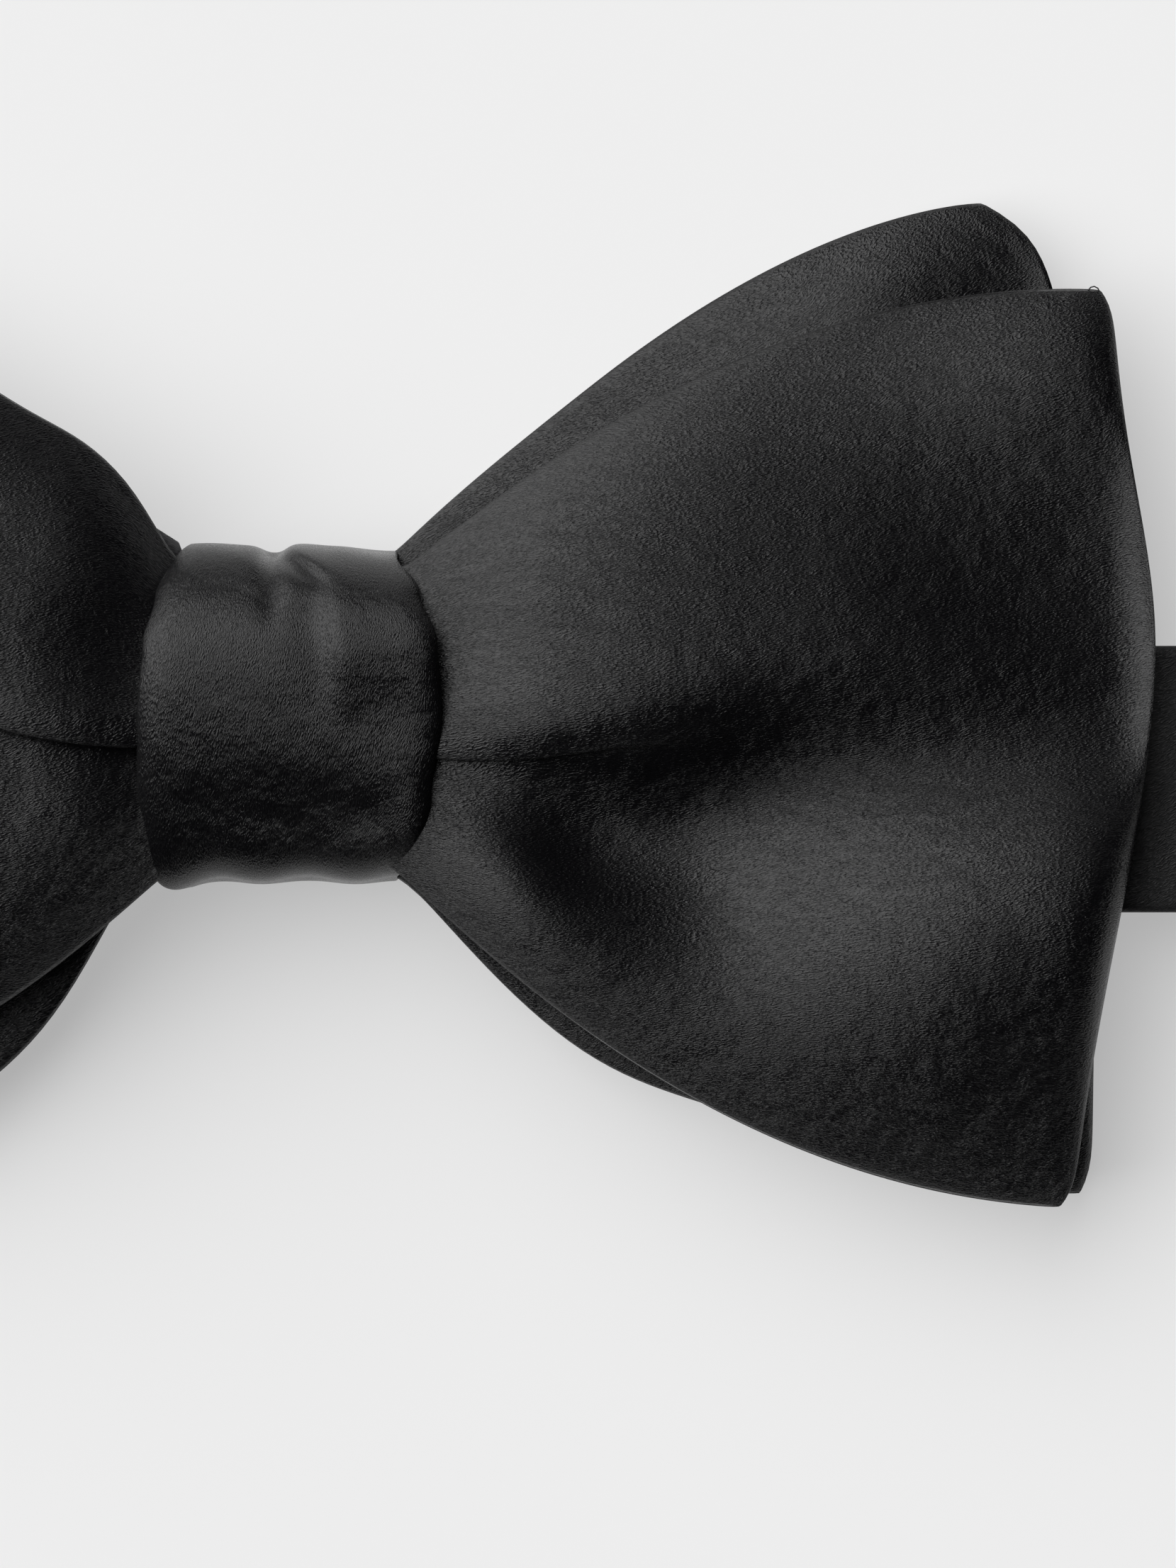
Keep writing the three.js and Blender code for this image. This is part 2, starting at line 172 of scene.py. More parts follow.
def satin(name, dark, light, rough, anisotropic, lie, relief):
    """Silk satin: long warp floats lie along U and hide the weft, so it shines in bands across them.
    The noise that stands for them has cells about 0.3 mm long and 0.09 mm wide.
    lie is how far they slant in radians, and relief how high they stand in metres."""
    material, tree, shader = new_material(name, rough, dark)
    shader.inputs["Specular IOR Level"].default_value = 0.41
    shader.inputs["Anisotropic"].default_value = anisotropic
    shader.inputs["Anisotropic Rotation"].default_value = 0.25
    tangent = add_node(tree, "ShaderNodeTangent", {"direction_type": "UV_MAP", "uv_map": "weave"})
    tree.links.new(tangent.outputs["Tangent"], shader.inputs["Tangent"])
    uv = add_node(tree, "ShaderNodeUVMap", {"uv_map": "weave"})
    wander = add_node(tree, "ShaderNodeTexNoise", inputs={"Scale": 0.5, "Detail": 2.0},
                      Vector=(uv, "UV"))
    bend = add_node(tree, "ShaderNodeVectorMath", {"operation": "MULTIPLY_ADD"},
                    {1: (0.6, 0.6, 0.0)}, _0=(wander, "Color"), _2=(uv, "UV"))
    slant = add_node(tree, "ShaderNodeMapping", inputs={"Rotation": (0.0, 0.0, lie)},
                     Vector=(bend, "Vector"))
    long_floats = add_node(tree, "ShaderNodeMapping", inputs={"Scale": (3.2, 11.0, 1.0)},
                           Vector=(slant, "Vector"))
    floats = add_node(tree, "ShaderNodeTexNoise", inputs={"Scale": 1.0, "Detail": 1.0, "Roughness": 0.5,
                                                          "Distortion": 0.3},
                      Vector=(long_floats, "Vector"))
    fine_threads = add_node(tree, "ShaderNodeMapping", inputs={"Scale": (5.0, 22.0, 1.0)},
                            Vector=(slant, "Vector"))
    threads = add_node(tree, "ShaderNodeTexNoise", inputs={"Scale": 1.0, "Detail": 1.0},
                       Vector=(fine_threads, "Vector"))
    blotch = add_node(tree, "ShaderNodeTexNoise", inputs={"Scale": 0.16, "Detail": 3.0},
                      Vector=(uv, "UV"))
    height = add_node(tree, "ShaderNodeMath", {"operation": "MULTIPLY_ADD"}, {1: 0.35},
                      _0=(threads, "Fac"), _2=(floats, "Fac"))
    surface = add_node(tree, "ShaderNodeBump", inputs={"Strength": 1.0, "Distance": relief},
                       Height=(height, "Value"))
    tree.links.new(surface.outputs["Normal"], shader.inputs["Normal"])
    # Painted glints and painted shade: the base colour turns from dark in the gaps between floats to
    # light on their crowns
    crown = add_node(tree, "ShaderNodeMapRange", inputs={"From Min": 0.55, "From Max": 0.8},
                     Value=(height, "Value"))
    tint = add_node(tree, "ShaderNodeMixRGB", inputs={"Color1": linear(dark), "Color2": linear(light)},
                    Fac=(crown, "Result"))
    tree.links.new(tint.outputs["Color"], shader.inputs["Base Color"])
    patch = add_node(tree, "ShaderNodeMapRange",
                     inputs={"From Min": 0.3, "From Max": 0.7, "To Min": rough + 0.06,
                             "To Max": rough + 0.14}, Value=(blotch, "Fac"))
    gloss = add_node(tree, "ShaderNodeMath", {"operation": "MULTIPLY_ADD"}, {1: -0.2},
                     _0=(crown, "Result"), _2=(patch, "Result"))
    tree.links.new(gloss.outputs["Value"], shader.inputs["Roughness"])
    return material


def ribbed_tape(name, colour, light, rib):
    """Polyester tape: fine crosswise ribs, nearly matt."""
    material, tree, shader = new_material(name, 0.62, colour)
    shader.inputs["Sheen Weight"].default_value = 0.15
    shader.inputs["Sheen Roughness"].default_value = 0.4
    uv = add_node(tree, "ShaderNodeUVMap", {"uv_map": "weave"})
    ribs = add_node(tree, "ShaderNodeTexWave", {"wave_type": "BANDS", "bands_direction": "X"},
                    {"Scale": math.pi / (10 * rib), "Distortion": 0.4, "Detail": 1.0,
                     "Detail Scale": 2.0},
                    Vector=(uv, "UV"))
    fuzz = add_node(tree, "ShaderNodeTexNoise", inputs={"Scale": 3.0, "Detail": 3.0}, Vector=(uv, "UV"))
    height = add_node(tree, "ShaderNodeMath", {"operation": "MULTIPLY_ADD"}, {1: 0.5}, _0=(fuzz, "Fac"),
                      _2=(ribs, "Color"))
    surface = add_node(tree, "ShaderNodeBump", inputs={"Strength": 0.6, "Distance": 0.0001},
                       Height=(height, "Value"))
    tree.links.new(surface.outputs["Normal"], shader.inputs["Normal"])
    tint = add_node(tree, "ShaderNodeMixRGB", inputs={"Color1": linear(colour),
                                                      "Color2": linear(light)},
                    Fac=(fuzz, "Fac"))
    tree.links.new(tint.outputs["Color"], shader.inputs["Base Color"])
    return material


def napped_cotton(name):
    """Undyed cotton interlining: an open plain weave of about 0.5 mm yarn under a short nap."""
    material, tree, shader = new_material(name, 0.92, "#CFC9BC")
    shader.inputs["Sheen Weight"].default_value = 0.4
    place = add_node(tree, "ShaderNodeTexCoord")
    grain = add_node(tree, "ShaderNodeTexNoise", inputs={"Scale": 900.0, "Detail": 4.0},
                     Vector=(place, "Object"))
    weave = add_node(tree, "ShaderNodeTexChecker", inputs={"Scale": 1900.0}, Vector=(place, "Object"))
    height = add_node(tree, "ShaderNodeMath", {"operation": "MULTIPLY_ADD"}, {1: 0.4},
                      _0=(weave, "Fac"), _2=(grain, "Fac"))
    surface = add_node(tree, "ShaderNodeBump", inputs={"Strength": 0.5, "Distance": 0.0001},
                       Height=(height, "Value"))
    tree.links.new(surface.outputs["Normal"], shader.inputs["Normal"])
    tint = add_node(tree, "ShaderNodeMixRGB", inputs={"Color1": linear("#BDB6A6"),
                                                      "Color2": linear("#DDD8CC")}, Fac=(grain, "Fac"))
    tree.links.new(tint.outputs["Color"], shader.inputs["Base Color"])
    return material


def spun_thread(name):
    """Spun polyester sewing thread: matt, with the twist of its plies."""
    material, tree, shader = new_material(name, 0.7, "#131314")
    shader.inputs["Sheen Weight"].default_value = 0.2
    place = add_node(tree, "ShaderNodeTexCoord")
    twist = add_node(tree, "ShaderNodeTexWave", {"wave_type": "BANDS", "bands_direction": "DIAGONAL"},
                     {"Scale": 1600.0, "Distortion": 1.0}, Vector=(place, "Object"))
    surface = add_node(tree, "ShaderNodeBump", inputs={"Strength": 0.5, "Distance": 0.00005},
                       Height=(twist, "Color"))
    tree.links.new(surface.outputs["Normal"], shader.inputs["Normal"])
    tint = add_node(tree, "ShaderNodeMixRGB", inputs={"Color1": linear("#0E0E0F"),
                                                      "Color2": linear("#1E1E20")},
                    Fac=(twist, "Color"))
    tree.links.new(tint.outputs["Color"], shader.inputs["Base Color"])
    return material


def nickel_plate(name):
    """Nickel-plated steel: bright, with faint drawing lines and a little dulling from handling."""
    material, tree, shader = new_material(name, 0.2, "#C9C6BF", metallic=1.0)
    place = add_node(tree, "ShaderNodeTexCoord")
    lines = add_node(tree, "ShaderNodeMapping", inputs={"Scale": (300.0, 4000.0, 3000.0)},
                     Vector=(place, "Object"))
    drawn = add_node(tree, "ShaderNodeTexNoise", inputs={"Scale": 1.0, "Detail": 2.0},
                     Vector=(lines, "Vector"))
    dull = add_node(tree, "ShaderNodeTexNoise", inputs={"Scale": 250.0, "Detail": 3.0},
                    Vector=(place, "Object"))
    gloss = add_node(tree, "ShaderNodeMapRange",
                     inputs={"From Min": 0.35, "From Max": 0.7, "To Min": 0.14, "To Max": 0.34},
                     Value=(dull, "Fac"))
    tree.links.new(gloss.outputs["Result"], shader.inputs["Roughness"])
    surface = add_node(tree, "ShaderNodeBump", inputs={"Strength": 0.15, "Distance": 0.00003},
                       Height=(drawn, "Fac"))
    tree.links.new(surface.outputs["Normal"], shader.inputs["Normal"])
    tint = add_node(tree, "ShaderNodeMixRGB", inputs={"Color1": linear("#B9B5AC"),
                                                      "Color2": linear("#D6D3CC")}, Fac=(dull, "Fac"))
    tree.links.new(tint.outputs["Color"], shader.inputs["Base Color"])
    return material


# Each satin's second colour is a painted glint laid on the float crowns over its first colour, which is
# painted darker in the gaps
SATIN = satin("black_silk_satin", "#010102", "#0B0A0C", 0.28, 0.45, -0.2, 0.00007)
BAND_SATIN = satin("black_band_satin", "#030304", "#121113", 0.48, 0.2, -0.5, 0.00006)
SATIN_REVERSE = satin("black_satin_reverse", "#29292B", "#4A494B", 0.55, 0.1, 0.0, 0.00005)
TAPE = ribbed_tape("black_ribbed_tape", "#08080A", "#141416", 0.5)
COTTON = napped_cotton("undyed_napped_cotton")
THREAD = spun_thread("black_spun_thread")
NICKEL = nickel_plate("nickel_plated_steel")


# ---- Meshes ----

def finished(name, mesh, material, body=None, replaced=(), modifiers=()):
    """An object of a mesh in millimetres, with its modifiers applied, riding on a body."""
    for vertex in mesh.vertices:
        vertex.co *= MM
    piece = bpy.data.objects.new(name, mesh)
    bpy.context.scene.collection.objects.link(piece)
    for kind, settings in modifiers:
        modifier = piece.modifiers.new(kind.title(), kind)
        for key, value in settings.items():
            setattr(modifier, key, value)
    if modifiers:
        view = bpy.context.evaluated_depsgraph_get()
        applied = bpy.data.meshes.new_from_object(piece.evaluated_get(view))
        piece.modifiers.clear()
        piece.data = applied
        applied.name = name
    piece.data.materials.clear()
    piece.data.materials.append(material)
    for face in piece.data.polygons:
        face.use_smooth = True
    if replaced:
        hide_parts(*replaced)
    if body:
        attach(piece, body)
    return piece


def from_bmesh(name, work):
    mesh = bpy.data.meshes.new(name)
    work.to_mesh(mesh)
    work.free()
    return mesh


def cloth_mesh(name, columns, rows, place, weave):
    """A grid laid by place(u, v), in millimetres, with u and v from -1 to 1.
    weave(u, v) gives the threads' own coordinates, in millimetres, floats along the first.
    The highest face looks up, so a folded sheet's faces all look out."""
    work = bmesh.new()
    layer = work.loops.layers.uv.new("weave")
    bmesh.ops.create_grid(work, x_segments=columns, y_segments=rows, size=1.0)
    for face in work.faces:
        for loop in face.loops:
            loop[layer].uv = weave(loop.vert.co.x, loop.vert.co.y)
    for vertex in work.verts:
        vertex.co = place(vertex.co.x, vertex.co.y)
    top = max(work.faces, key=lambda face: face.calc_center_median().z)
    top.normal_update()
    if top.normal.z < 0:
        bmesh.ops.reverse_faces(work, faces=work.faces)
    return from_bmesh(name, work)


def thickness(amount, levels=1, offset=-1.0):
    """Modifiers that give a sheet its thickness and soften its cut edges."""
    out = [("SOLIDIFY", dict(thickness=amount * MM, offset=offset, use_even_offset=False))]
    if levels:
        out.append(("SUBSURF", dict(levels=levels, render_levels=levels)))
    return out


def tube_mesh(name, points, radius, closed=False, sides=2):
    """A round wire or thread through points, in millimetres."""
    curve = bpy.data.curves.new(name, "CURVE")
    curve.dimensions = "3D"
    curve.bevel_depth = radius
    curve.bevel_resolution = sides
    curve.use_fill_caps = True
    spline = curve.splines.new("POLY")
    spline.points.add(len(points) - 1)
    for point, place in zip(spline.points, points):
        point.co = (*place, 1.0)
    spline.use_cyclic_u = closed
    holder = bpy.data.objects.new(name, curve)
    bpy.context.scene.collection.objects.link(holder)
    view = bpy.context.evaluated_depsgraph_get()
    mesh = bpy.data.meshes.new_from_object(holder.evaluated_get(view))
    bpy.data.objects.remove(holder)
    bpy.data.curves.remove(curve)
    work = bmesh.new()
    work.from_mesh(mesh)
    bmesh.ops.remove_doubles(work, verts=work.verts, dist=radius * 0.02)
    bmesh.ops.recalc_face_normals(work, faces=work.faces)
    work.to_mesh(mesh)
    work.free()
    return mesh


# ---- Bow layers ----

def half_height(layer, s):
    """Half the layer's height across, s out from the knot's middle."""
    if s < NECK_AT:
        return mix(layer["waist"], layer["neck"], (s / NECK_AT) ** 2)
    share = min((s - NECK_AT) / (layer["reach"] - NECK_AT), 1.0)
    return mix(layer["neck"], layer["end"], 1 - (1 - share) ** layer["power"])


def edge_shift(layer, side, s, across):
    """Where an edge of one wing swells out or is drawn in near the knot."""
    return sum(amount * math.exp(-((s - at) / width) ** 2) * smooth(-0.2, 1.0, across * edge)
               for wing, edge, at, width, amount in layer["edges"] if wing == side)


def full_puff(layer, s):
    """The gap between the two plies in the middle of the layer."""
    return mix(layer["waist_puff"], layer["puff"], smooth(NECK_AT, 24, s))


def puff(layer, s, across):
    return layer["seam"] + (full_puff(layer, s) - layer["seam"]) * (1 - abs(across) ** 3)


def middle_height(layer, s, across):
    base = mix(layer["waist_base"], layer["base"], smooth(NECK_AT, 18, s))
    droop = layer["droop"] * smooth(12, 50, s) * abs(across) ** 3
    return base + full_puff(layer, s) / 2 - droop


# Soft hills and hollows of a layer's front ply: x, y, long, wide, turn and rise
FRONT_HILLS = (
    (54, 27, 9, 7, 0, 0.7),           # lifted upper right corner
    (15, -17, 7, 5, -45, 0.6),        # ridge beside the knot, along the lower edge
    (-12, -7, 6, 4, 0, 0.8),          # left wing, close to the knot
    (19.5, -8, 6, 4.5, -30, -1.7),    # hollow under the pleat, beside the knot
)
# Where a front ply steps down along a direction: x, y, half length, half width, turn and drop
FRONT_FALLS = (
    (29, 11, 20, 18, 0, 2.6),         # the right wing falls slowly away from its crown
    (52, 9, 15, 15, -4, 3.6),         # and more steeply in the middle of its end
    (40, 17, 14, 8, -35, 0.6),        # slanting step across its upper half
    (52, -25, 9, 11, -15, 2.4),       # lower right corner falls away
    (57, -10, 4, 9, 0, 0.7),          # its end, below the middle
)
# The hollow under the pleat's fold, on the right: a step that acts only below its brink
SCOOP = (22.5, -11.5, 7.5, 12, 28, 4.3)
BRINK_AT_KNOT, BRINK_OUT = -5.5, -1.0    # y of the brink at the knot and out on the wing,
BRINK_RUN = (15, 38)                     # and the x between which it climbs
BRINK_SOFT = 6                           # how far above and below it the scoop sets in
SCOOP_FADE = (28, 48)                    # the x between which the scoop loses
SCOOP_LOSS = 0.3                         # this share of its depth
BACK_HILLS = (
    (40, 30, 14, 6, 30, 0.8),         # upper right corner
    (-40, -30, 14, 6, 30, 0.8),       # lower left corner
)
BACK_FALLS = (
    (48, 31, 7, 12, -20, 2.2),        # upper right corner falls away
)


def fall(x, y, middle_x, middle_y, long, wide, turn, drop):
    """A step down along a direction, which stays down beyond its end."""
    along, across = turned_frame(x, y, middle_x, middle_y, turn)
    return -drop * smooth(-long, long, along) * math.exp(-(across / wide) ** 2)


def relief(folds, x, y):
    """How far a layer's folds lift or lower its front ply at a point."""
    hills, falls, scoops = folds
    height = sum(bump(x, y, *hill) for hill in hills) + sum(fall(x, y, *step) for step in falls)
    brink = mix(BRINK_AT_KNOT, BRINK_OUT, smooth(*BRINK_RUN, x))
    depth = smooth(brink + BRINK_SOFT, brink - BRINK_SOFT, y)
    depth *= 1 - SCOOP_LOSS * smooth(*SCOOP_FADE, x)
    return height + sum(fall(x, y, *scoop) for scoop in scoops) * depth


FRONT_FOLDS = (FRONT_HILLS, FRONT_FALLS, (SCOOP,))
BACK_FOLDS = (BACK_HILLS, BACK_FALLS, ())


def gathers(x, y, across):
    """Small creases that fan out of the knot and die away along the wing."""
    reach = math.exp(-max(abs(x) - NECK_AT, 0.0) / 7.0)
    fan = math.atan2(y, abs(x) + 6.0)
    return 0.32 * reach * math.sin(9.0 * fan + (1.0 if x > 0 else 2.2)) * (1 - across ** 6)


def loop_place(layer, along):
    """side, s, rise and roll at a share of the way round the loop, -1 to 1."""
    side = 1.0 if along >= 0 else -1.0
    straight = layer["reach"] - layer["roll"]
    turn = math.pi * layer["roll"] * 1.1
    total = 2 * straight - SLIT + turn
    walked = abs(along) * total
    if walked <= straight:
        return side, walked, 1.0, 0.0
    if walked >= straight + turn:
        return side, max(2 * straight + turn - walked, SLIT), -1.0, 0.0
    angle = math.pi * (0.5 - (walked - straight) / turn)
    return side, straight, math.sin(angle), math.cos(angle)


def pleat(s, across):
    """How far the pleat moves a point of the front ply in y and z, and 0, 0 away from it."""
    row = mix(PLEAT_AT_KNOT, PLEAT_AT_END, smooth(8, PLEAT_END, s))
    offset = (across - row) / PLEAT_SPREAD
    fade = 1 - smooth(NECK_AT, PLEAT_FADE, s)
    if abs(offset) >= 1 or fade <= 0:
        return 0.0, 0.6 * fade * smooth(0.55, 0.0, abs(across - row)) * math.copysign(1, offset)
    depth = 1.5 * fade ** 1.5
    return -depth * math.sin(math.pi * offset), 0.6 * fade * math.sin(math.pi / 2 * offset)


def crowd_rows(v, centre):
    """Moves grid rows towards the pleat, so that it has enough of them."""
    offset = v - centre
    return v - 0.32 * offset * math.exp(-(offset / 0.22) ** 2)


def layer_point(layer, side, s, across, rise, roll, folds, pleated):
    """A point of a layer: rise is 1 on its front ply and -1 on its back one."""
    reach = layer["reach"]
    lobe = 0.52 if across > 0.18 else 0.78
    end = reach + layer["bulge"] * math.exp(-((across - 0.18) / lobe) ** 2)
    stretch = end / reach - layer["trim"] / reach * max(across * side, 0.2 * abs(across)) ** 12
    stretch -= CORNER / reach * abs(across) ** 30
    s_out = s + roll * layer["roll"]
    x = side * s_out * stretch
    y = across * half_height(layer, s_out) + edge_shift(layer, side, s_out, across)
    share = max(rise, 0.0)
    z = middle_height(layer, s_out, across) + rise * (puff(layer, s_out, across) / 2)
    if pleated and rise > 0:
        shift, lift = pleat(s, across)
        y += shift * share
        z += lift * share
    angle = math.radians(layer["turn"])
    turned_x = x * math.cos(angle) - y * math.sin(angle)
    turned_y = x * math.sin(angle) + y * math.cos(angle)
    turned_y += layer["shift"] * smooth(4, 24, s)
    leave = smooth(8.0, 14.0, abs(x))
    z += layer["swell"] * (smooth(8, 17, s) + 0.4 * smooth(12, 30, s)) * share * (1 - across ** 4)
    z += relief(folds, turned_x, turned_y) * share * leave * (1 - 0.6 * abs(across) ** 8)
    if rise > 0:
        z += gathers(turned_x, turned_y, across) * share * leave
    return Vector((turned_x, turned_y, z))


def bow_loop(name, layer, columns, rows, folds, pleated, replaced):
    """A layer of the bow: one closed loop of satin, its ends meeting behind the knot."""
    def place(u, v):
        side, s, rise, roll = loop_place(layer, u)
        across = crowd_rows(v, PLEAT_ROWS) if pleated else v
        return layer_point(layer, side, s, across, rise, roll, folds, pleated)

    def weave(u, v):
        half = 2 * layer["reach"] + 4
        s = loop_place(layer, u)[1]
        return u * half, v * mix(14.0, layer["end"], smooth(0, 40, s))

    mesh = cloth_mesh(name, columns, rows, place, weave)
    return finished(name, mesh, SATIN, "bow", replaced, thickness(PLY))


def bow_lining(name, layer, cover, amount, folds, replaced):
    """The lining lies loose between the two plies, nearer the back one."""
    def place(u, v):
        s = abs(u) * (layer["reach"] - layer["roll"] - 1.4)
        side = 1.0 if u >= 0 else -1.0
        front = layer_point(layer, side, s, v * cover, 1.0, 0.0, folds, False)
        back = layer_point(layer, side, s, v * cover, -1.0, 0.0, folds, False)
        return back.lerp(front, 0.4)

    mesh = cloth_mesh(name, 60, 24, place, lambda u, v: (u * 56, v * 30))
    return finished(name, mesh, COTTON, "bow", replaced,
                    thickness(amount, 0, 0.0))


front_bow = bow_loop("front_bow", FRONT, 150, 56, FRONT_FOLDS, True, ["front_bow_satin"])
front_lining = bow_lining("front_lining", FRONT, 0.8, 0.5, FRONT_FOLDS, ["front_bow_interlining"])
back_bow = bow_loop("back_bow", BACK, 120, 40, BACK_FOLDS, False, ["back_bow_satin"])
back_lining = bow_lining("back_lining", BACK, 0.8, 0.3, BACK_FOLDS, ["back_bow_interlining"])


# ---- Knot ----

# The wrap's outline seen from the side: y and z, from the back middle round the lower edge
KNOT_RING = (
    (0, 3.7), (-9.8, 3.75), (-11.9, 6.2), (-12.2, 9.6), (-11.2, 12.9), (-6.6, 15.4),
    (-0.2, 17.0), (5.2, 17.3), (9.0, 15.5), (11.3, 12.2), (11.7, 7.0), (9.6, 3.75),
)
# The face's left and right edges, x at each y
KNOT_SIDES = ((-12, -10.6, 8.5), (-6, -11.0, 10.0), (0, -10.9, 10.8), (5, -10.5, 10.45),
              (9, -9.7, 9.1), (12, -8.6, 7.4))


def ring_point(share):
    """A closed smooth curve through KNOT_RING."""
    count = len(KNOT_RING)
    at = (share % 1.0) * count
    index = int(at)
    t = at - index
    a, b, c, d = (Vector(KNOT_RING[(index + k) % count]) for k in (-1, 0, 1, 2))
    return 0.5 * (2 * b + (c - a) * t + (2 * a - 5 * b + 4 * c - d) * t ** 2
                  + (3 * b - a - 3 * c + d) * t ** 3)


def ring_inward(share):
    tangent = ring_point(share + 0.002) - ring_point(share - 0.002)
    return Vector((tangent.y, -tangent.x)).normalized()


def knot_side(y, column):
    """The face's edge at height y: column 1 is the left edge and 2 the right."""
    y = min(max(y, KNOT_SIDES[0][0]), KNOT_SIDES[-1][0])
    for low, high in zip(KNOT_SIDES, KNOT_SIDES[1:]):
        if y <= high[0]:
            return mix(low[column], high[column], smooth(low[0], high[0], y))


def knot_top_edge(x):
    """How far the top edge lies above or below its mean at x: two lobes and the notch between."""
    return (0.25 * math.exp(-((x + 6) / 2.6) ** 2) - 0.95 * math.exp(-((x + 1.4) / 0.8) ** 2)
            + 0.2 * math.exp(-((x - 0.6) / 1.6) ** 2) - 1.2 * smooth(-7.5, -10.5, x)
            - 0.5 * smooth(3, 7, x))


def knot_bottom_edge(x):
    return 0.22 * math.sin(x * 0.95 + 0.6) - 0.9 * smooth(-4, -10, x) + 0.35


def knot_relief(x, y):
    """Creases of the face: the pinch at the notch, the fold that runs down from it and slack."""
    line = -1.3 + 3.6 * smooth(12.4, 8.4, y) + 0.6 * smooth(9.0, 2.0, y)
    aside = x - line
    pinch = -1.2 * smooth(8.0, 11.0, y) * math.exp(-(aside / 0.9) ** 2)
    depth = smooth(-2.5, 5.0, y)
    fold = 0.55 * smooth(-0.9, 0.9, aside) * math.exp(-max(aside - 0.9, 0.0) / 3.5)
    groove = -0.3 * math.exp(-((aside + 0.8) / 2.0) ** 2)
    flap = 0.35 * smooth(7.0, 11.0, y) * math.exp(-((aside + 2.4) / 1.6) ** 2)
    slack = bump(x, y, 1, -7.5, 12, 3.2, 0, -0.3) + bump(x, y, -4.5, -9.8, 3.0, 2.0, 10, 0.3)
    slack += bump(x, y, 5, -10.0, 3.0, 1.8, 0, 0.3) + bump(x, y, 7, 1.0, 3.5, 4.0, 20, -0.4)
    slack += bump(x, y, -0.3, 11.0, 3.6, 2.2, -35, 0.5) + bump(x, y, 9.0, -8.8, 2.4, 3.0, 0, 0.9)
    return pinch + depth * (fold + groove) + flap + slack


def knot_point(u, v, inset, trim):
    share = (u + 1) / 2
    flat = ring_point(share)
    inward = ring_inward(share)
    front = smooth(9.0, 15.0, flat.y)
    left = mix(-7.4, knot_side(flat.x, 1), front)
    right = mix(7.4, knot_side(flat.x, 2), front)
    x = mix(left + trim, right - trim, (v + 1) / 2)
    y, z = flat.x + inward.x * inset, flat.y + inward.y * inset
    top = smooth(3.0, 11.0, y)
    bottom = smooth(-3.0, -11.0, y)
    y += top * knot_top_edge(x) * smooth(5.0, 10.0, z)
    y += bottom * knot_bottom_edge(x) * smooth(5.0, 10.0, z)
    rolled = abs(v) ** 12
    z += front * (knot_relief(x, y) - 1.1 * rolled)
    return Vector((x, y, z))


def knot_wrap():
    mesh = cloth_mesh("knot_wrap", 132, 40, lambda u, v: knot_point(u * 0.994, v, 0.0, 0.0),
                      lambda u, v: (u * 33, v * 11))
    piece = finished("knot_wrap", mesh, SATIN, "bow", ["knot_wrap_satin"],
                     thickness(0.5))
    return piece


knot_wrap()
knot_lining_mesh = cloth_mesh("knot_lining", 40, 12, lambda u, v: knot_point(u * 0.42, v, 0.95, 1.2),
                              lambda u, v: (u * 16, v * 9))
knot_lining = finished("knot_lining", knot_lining_mesh, COTTON, "bow", ["knot_interlining"],
                       thickness(0.3, 0))


def knot_tuck():
    """The folded end of the wrap that peeps out behind the knot's top left corner."""
    low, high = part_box("knot_tuck")
    middle = (low + high) / 2 / MM

    def place(u, v):
        x = middle.x + 0.1 + u * 1.5 - 0.4 * v
        y = middle.y + v * 1.0 - 0.95 * u
        return Vector((x, y, middle.z + 0.5 - 0.5 * u * u - 0.35 * v * v))

    mesh = cloth_mesh("knot_tuck_fold", 14, 12, place, lambda u, v: (u * 1.4, v * 1.2))
    return finished("knot_tuck_fold", mesh, SATIN_REVERSE, "bow", ["knot_tuck"],
                    thickness(0.5))


def waist_thread():
    """Three turns of thread that bind both layers at the waist."""
    points = []
    for step in range(181):
        angle = 2 * math.pi * 3 * step / 180
        square = 0.45 if math.cos(angle) > 0 else 0.62
        sine, cosine = math.sin(angle), math.cos(angle)
        points.append(((step / 180 - 0.5) * 3.0,
                       9.0 * math.copysign(abs(sine) ** square, sine),
                       10.3 - 4.1 * math.copysign(abs(cosine) ** square, cosine)))
    mesh = tube_mesh("waist_thread", points, 0.22)
    return finished("waist_thread", mesh, THREAD, "bow", ["waist_binding_thread"])


def stray_thread():
    """A loose loop of sewing thread at the front layer's upper right corner."""
    points = ((56.1, 29.4, 9.5), (56.25, 29.9, 9.6), (56.45, 30.12, 9.7), (56.7, 30.18, 9.7),
              (56.95, 30.05, 9.7), (57.1, 29.75, 9.6), (57.15, 29.3, 9.5))
    mesh = tube_mesh("stray_thread_loop", points, 0.05)
    return finished("stray_thread_loop", mesh, THREAD, "bow", ())


def stitches(name, places, radius, body, replaced):
    """Separate stitches, each an arc of thread between two holes: (from, to, lift)."""
    work = bmesh.new()
    for start, end, lift in places:
        start, end, lift = Vector(start), Vector(end), Vector(lift)
        points = [start.lerp(end, t) + lift * math.sin(math.pi * t) ** 0.6
                  for t in (0, 0.15, 0.3, 0.5, 0.7, 0.85, 1)]
        mesh = tube_mesh("stitch", points, radius, sides=1)
        work.from_mesh(mesh)
        bpy.data.meshes.remove(mesh)
    return finished(name, from_bmesh(name, work), THREAD, body, replaced)


def knot_stitches():
    """Ladder stitches that close the wrap's ends behind the knot."""
    places = []
    for step in range(10):
        x = -6.3 + step * 1.4
        places.append(((x, -0.55, 3.75), (x + 0.45, 0.55, 3.75), (0, 0, -0.28)))
    return stitches("knot_ladder_stitches", places, 0.13, "bow", ["knot_closing_stitches"])


knot_tuck()
waist_thread()
stray_thread()
knot_stitches()


# ---- Neck band ----

def band_centre(x):
    return BAND_DROP * smooth(7.6, 56, abs(x))


